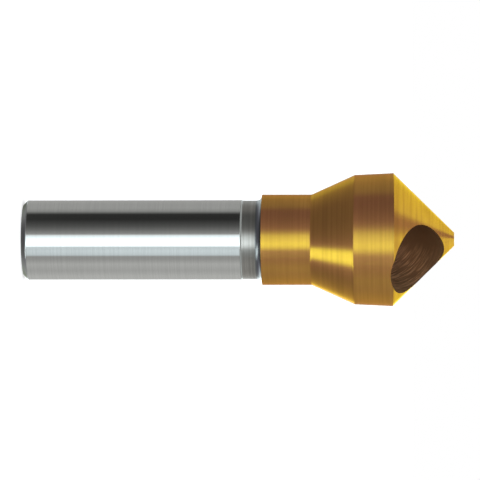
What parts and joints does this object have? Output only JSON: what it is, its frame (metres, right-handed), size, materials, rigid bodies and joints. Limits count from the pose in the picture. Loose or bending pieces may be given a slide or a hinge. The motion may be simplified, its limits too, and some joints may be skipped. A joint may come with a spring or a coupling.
{
  "type": "countersink bit",
  "caption": "Countersink and deburring bit for metal: plain round shank, flared head, and a right-angled cone pierced by a slanting chip hole whose rim is the cutting edge.",
  "frame": {"origin": "centre of the flat end of the shank, on which the bit stands", "axes": "+Z along the tool's axis, from the shank end to the tip; the mouth of the chip hole opens between +X and -Y"},
  "size_m": [0.02, 0.02, 0.065],
  "materials": {
    "tool_steel": "ground high-speed steel; the collar, head and cone carry a thin golden titanium nitride coat"
  },
  "bodies": {
    "root": {"countersink_bit": "tool_steel"}
  },
  "joints": []
}
